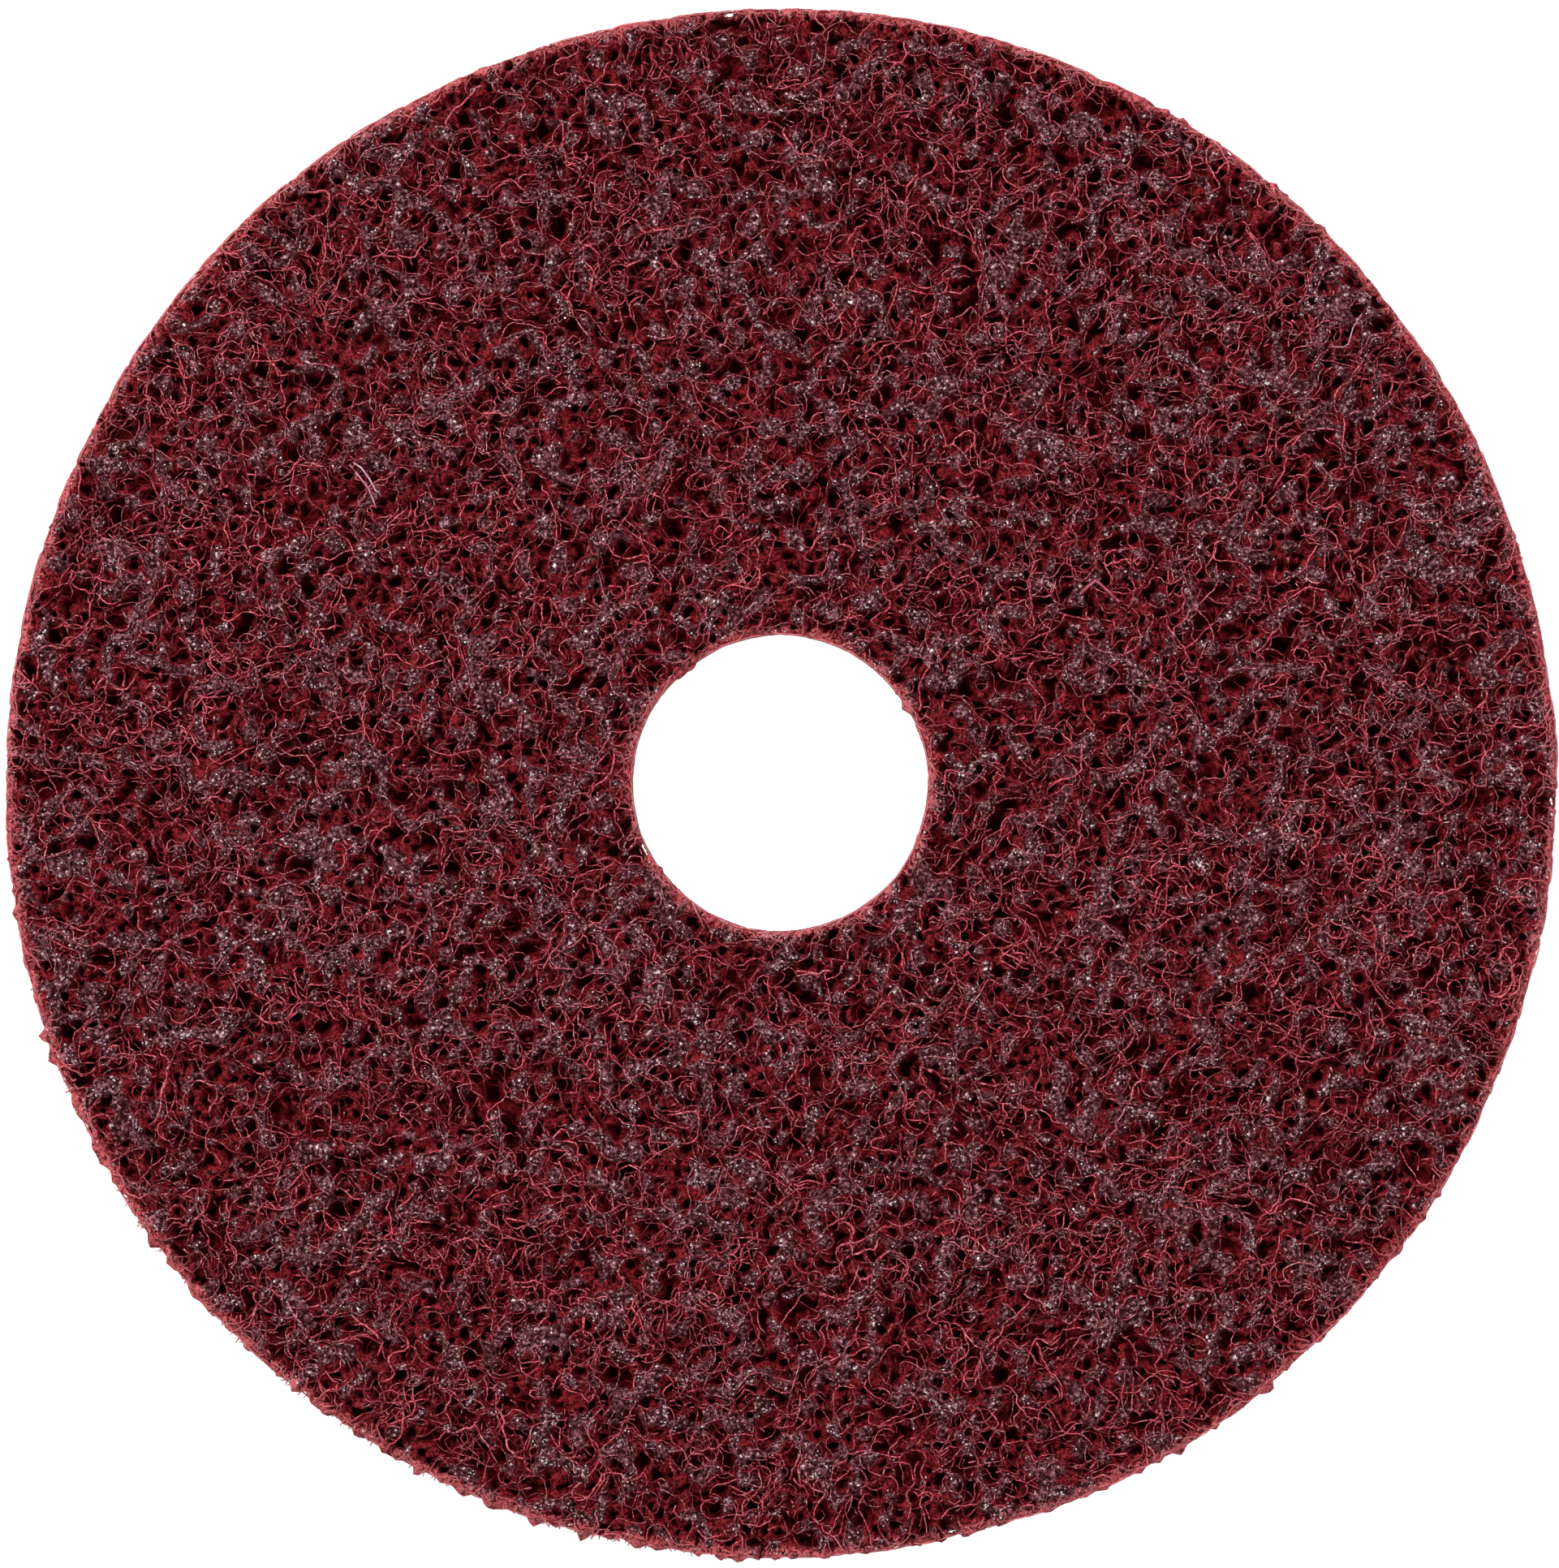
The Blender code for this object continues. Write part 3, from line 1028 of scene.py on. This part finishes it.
def resinMaterial():
    look, paint = resinLook, Paint("bonding_resin")
    place, depth = paint.place(), paint.number("depth")
    # grains packed in resin: each has its own shade, and there are dark gaps between them
    own = paint.red(paint.cells(paint.warped(place, place, *look["askew"]), look["grain"]))
    gap = paint.cloud(place, look["gap"], 1.0)
    shade = own * 0.85 + paint.between(gap, 0.28, 0.72) * 0.60 - 0.41
    grains = paint.node("ShaderNodeValToRGB", {"stops": look["grains"]}, {"Fac": shade}, "Color")
    # windows between fibres, seen further down; the near-black gaps and the darker far fibres are
    # painted shade
    unrolled = paint.node("ShaderNodeUVMap", {"uv_map": "unrolled"})
    curved = paint.warped(unrolled, place, *look["curved"])
    farNet, nearNet = (paint.net(curved, size, width) for size, width in look["nets"])
    broken = paint.between(gap, 0.40, 0.60)
    sunk = paint.between(depth, *look["sunk"])
    web = paint.mix(farNet, look["web"], look["far"])
    web = paint.mix(paint.between(own, *look["flecked"]), web, look["fleck"])
    web = paint.mix(nearNet * broken * (1 - sunk), web, look["near"])
    # painted shade: pits are painted darker the deeper they lie, and the far fibres still show through
    web = paint.mix(sunk * (1 - farNet * 0.7), web, look["paintedPitShade"])
    # the grains lie over the web, and a pale line runs along the cuts: partly paler cut fibre, partly
    # painted rim light
    frayed = paint.cloud(place, look["scatter"], 0.0) * look["frayed"]
    closed = paint.between(paint.number("resin") + frayed - depth * 1.4, *look["closed"])
    colour = paint.mix(closed, web, grains)
    trimmedAndRimLit = paint.between(paint.number("cut") + own * 0.60, *look["trimmedAndRimLit"])
    colour = paint.mix(trimmedAndRimLit * (1.0 - broken * 0.45), colour, look["pressed"])
    return paint.finish(
        Base_Color=colour, Roughness=look["roughness"], Specular_IOR_Level=look["specular"],
        Coat_Weight=paint.between(shade, *look["glossy"]) * closed, Coat_Roughness=look["coat"],
        Normal=paint.bump(gap, *look["bump"]),
    )


# Dyed fibre, partly coated with resin and grain
fibreLook = {
    "dark": (0.24, 0.005, 0.012, 1),
    "bright": (1.0, 0.14, 0.19, 1),
    # painted shade: the colour that fibres lying lower in the web darken towards
    "paintedDepthShade": (0.15, 0.0006, 0.002, 1),
    "coat": (0.2, 0.06, 0.07, 1),
    "grain": (1.0, 0.72, 0.74, 1),
    "gap": (0.09, 0.0026, 0.005, 1),
    # pale fibre along the cuts: partly paler cut fibre, partly painted rim light
    "pressed": (0.8, 0.17, 0.19, 1),
    "fleck": 0.00020,
    "patch": 0.0009,  # a coated stretch
    # where each begins and where it is full
    "coated": (0.80, 1.15),
    "gaps": (0.52, 0.30),
    "grains": (0.57, 0.72),
    # sunk: the depths over which that painted shade comes in
    "sunk": (0.05, 0.36),
    "coatShare": 0.4,
    "cutShare": 0.8,
    "gloss": 0.8,
    "glossRoughness": 0.22,
    "roughness": 0.5,
    "specular": 0.1,
    "bump": (0.00006, 0.7),  # height and strength
}

# Fibre that took little dye
undyedLook = {
    **fibreLook,
    "dark": (0.56, 0.09, 0.13, 1),
    "bright": (1.0, 0.56, 0.72, 1),
    "gap": (0.62, 0.09, 0.19, 1),
}


def fibreMaterial(name, look):
    paint = Paint(name)
    place = paint.place()
    patch = paint.number("resin") + paint.cloud(place, look["patch"], 0.0)
    coat = paint.between(patch, *look["coated"])
    fleck = paint.cloud(place, look["fleck"], 0.0)
    gap = paint.between(fleck, *look["gaps"]) * (coat * 0.1 + 0.8)
    grain = paint.between(fleck, *look["grains"]) * (coat * 0.2 + 0.3)
    sunk = paint.between(paint.number("depth"), *look["sunk"])
    colour = paint.mix(paint.number("tone"), look["dark"], look["bright"])
    colour = paint.mix(coat * look["coatShare"], colour, look["coat"])
    colour = paint.mix(gap, colour, look["gap"])
    colour = paint.mix(grain, colour, look["grain"])
    # fibres near the cuts turn pale: partly paler cut fibre, partly painted rim light
    colour = paint.mix(paint.number("cut") * look["cutShare"], colour, look["pressed"])
    # painted shade: fibres darken with their depth in the web
    colour = paint.mix(sunk, colour, look["paintedDepthShade"])
    return paint.finish(
        Base_Color=colour, Roughness=look["roughness"], Specular_IOR_Level=look["specular"],
        Coat_Weight=(1 - sunk) * look["gloss"], Coat_Roughness=look["glossRoughness"],
        Normal=paint.bump(fleck, *look["bump"]),
    )


gritLook = {
    "dull": (0.2, 0.06, 0.08, 1),
    "clear": (1.0, 0.9, 0.92, 1),
    "roughness": (0.40, 0.25),  # dull, and how much less clear
}


def gritMaterial():
    look, paint = gritLook, Paint("abrasive_grit")
    tone = paint.number("tone")
    colour = paint.mix(tone, look["dull"], look["clear"])
    rough, smoother = look["roughness"]
    return paint.finish(Base_Color=colour, Roughness=rough - tone * smoother)


# The camera sees the floor as plain white, but for the shadow of the pad
def floorMaterial():
    paint = Paint("white_floor")
    light = paint.node("ShaderNodeLightPath", output="Is Camera Ray")
    glossy = paint.node("ShaderNodeLightPath", output="Is Glossy Ray")
    through = paint.node("ShaderNodeLightPath", output="Is Transmission Ray")
    seen = paint.mix(light + glossy + through, (0, 0, 0, 1), (1, 1, 1, 1))
    return paint.finish(
        Base_Color=studio["floor"], Roughness=0.9, Specular_IOR_Level=0.0,
        Emission_Color=seen, Emission_Strength=studio["floorGlow"],
    )


# Studio: a white floor, soft lamps round the camera, and the camera straight above

studio = {
    "floorSize": 3.0,
    "floor": (0.86, 0.86, 0.86, 1),
    "floorGlow": 0.82,
    "world": 0.18,
    "lamps": (
        # place, size and share of the light
        ((-0.55, 0.45, 0.75), 0.26, 0.54),
        ((0.60, 0.25, 0.65), 0.45, 0.18),
        ((0.05, -0.70, 0.60), 0.50, 0.12),
    ),
    "lens": 260.0,
    "sensor": 36.0,
    "frameHeight": 0.11631,  # what the picture's 1932 pixels show
    "lookAt": (-0.00007, -0.00005, 0.0045),
}


def makeFloor():
    half = studio["floorSize"] / 2
    mesh = bpy.data.meshes.new("floor")
    corners = [(-half, -half, 0), (half, -half, 0), (half, half, 0), (-half, half, 0)]
    mesh.from_pydata(corners, [], [(0, 1, 2, 3)])
    mesh.materials.append(floorMaterial())
    floor = bpy.data.objects.new("floor", mesh)
    bpy.context.scene.collection.objects.link(floor)


def makeLight():
    world = bpy.data.worlds.new("studio")
    world.use_nodes = True
    background = world.node_tree.nodes["Background"]
    background.inputs["Strength"].default_value = studio["world"]
    background.inputs["Color"].default_value = (1, 1, 1, 1)
    bpy.context.scene.world = world
    for number, (place, size, share) in enumerate(studio["lamps"]):
        lamp = bpy.data.lights.new("softbox", "AREA")
        lamp.shape, lamp.size = "DISK", size
        place = Vector(place)
        # a small disk lamp of power P gives P / (pi * distance squared) straight ahead
        lamp.energy = share * math.pi * math.pi * place.length_squared * place.length / place.z
        holder = bpy.data.objects.new(f"softbox_{number}", lamp)
        holder.location = place
        holder.rotation_euler = (-place).to_track_quat("-Z", "Y").to_euler()
        bpy.context.scene.collection.objects.link(holder)


def makeCamera():
    camera = bpy.data.cameras.new("camera")
    camera.lens, camera.sensor_width = studio["lens"], studio["sensor"]
    holder = bpy.data.objects.new("camera", camera)
    x, y, z = studio["lookAt"]
    holder.location = (x, y, z + studio["frameHeight"] * studio["lens"] / studio["sensor"])
    bpy.context.scene.collection.objects.link(holder)
    bpy.context.scene.camera = holder


makeCamera()
makeLight()
makeFloor()
print("studio set")

bonded = resinMaterial()
fibre = fibreMaterial("dyed_fibre", fibreLook)
undyed = fibreMaterial("undyed_fibre", undyedLook)
print("materials mixed")

makeWebBody(bonded, dice)
faceFibres("fibres_upper", upperFibres, fibre, dice)
faceFibres("fibres_middle", middleFibres, fibre, dice)
faceFibres("fibres_lower", lowerFibres, fibre, dice)
makeBackFibres(fibre, dice)
makeEdgeFibres("rim_fibres", edgeFibres["count"], rimAt, 1, fibre, dice)
makeEdgeFibres("bore_fibres", edgeFibres["boreCount"], boreAt, -1, fibre, dice)
makeCutEnds(fibre, dice)
makeStrays(undyed)
makeGrit(gritMaterial(), dice)

bpy.context.scene.view_settings.view_transform = "Standard"
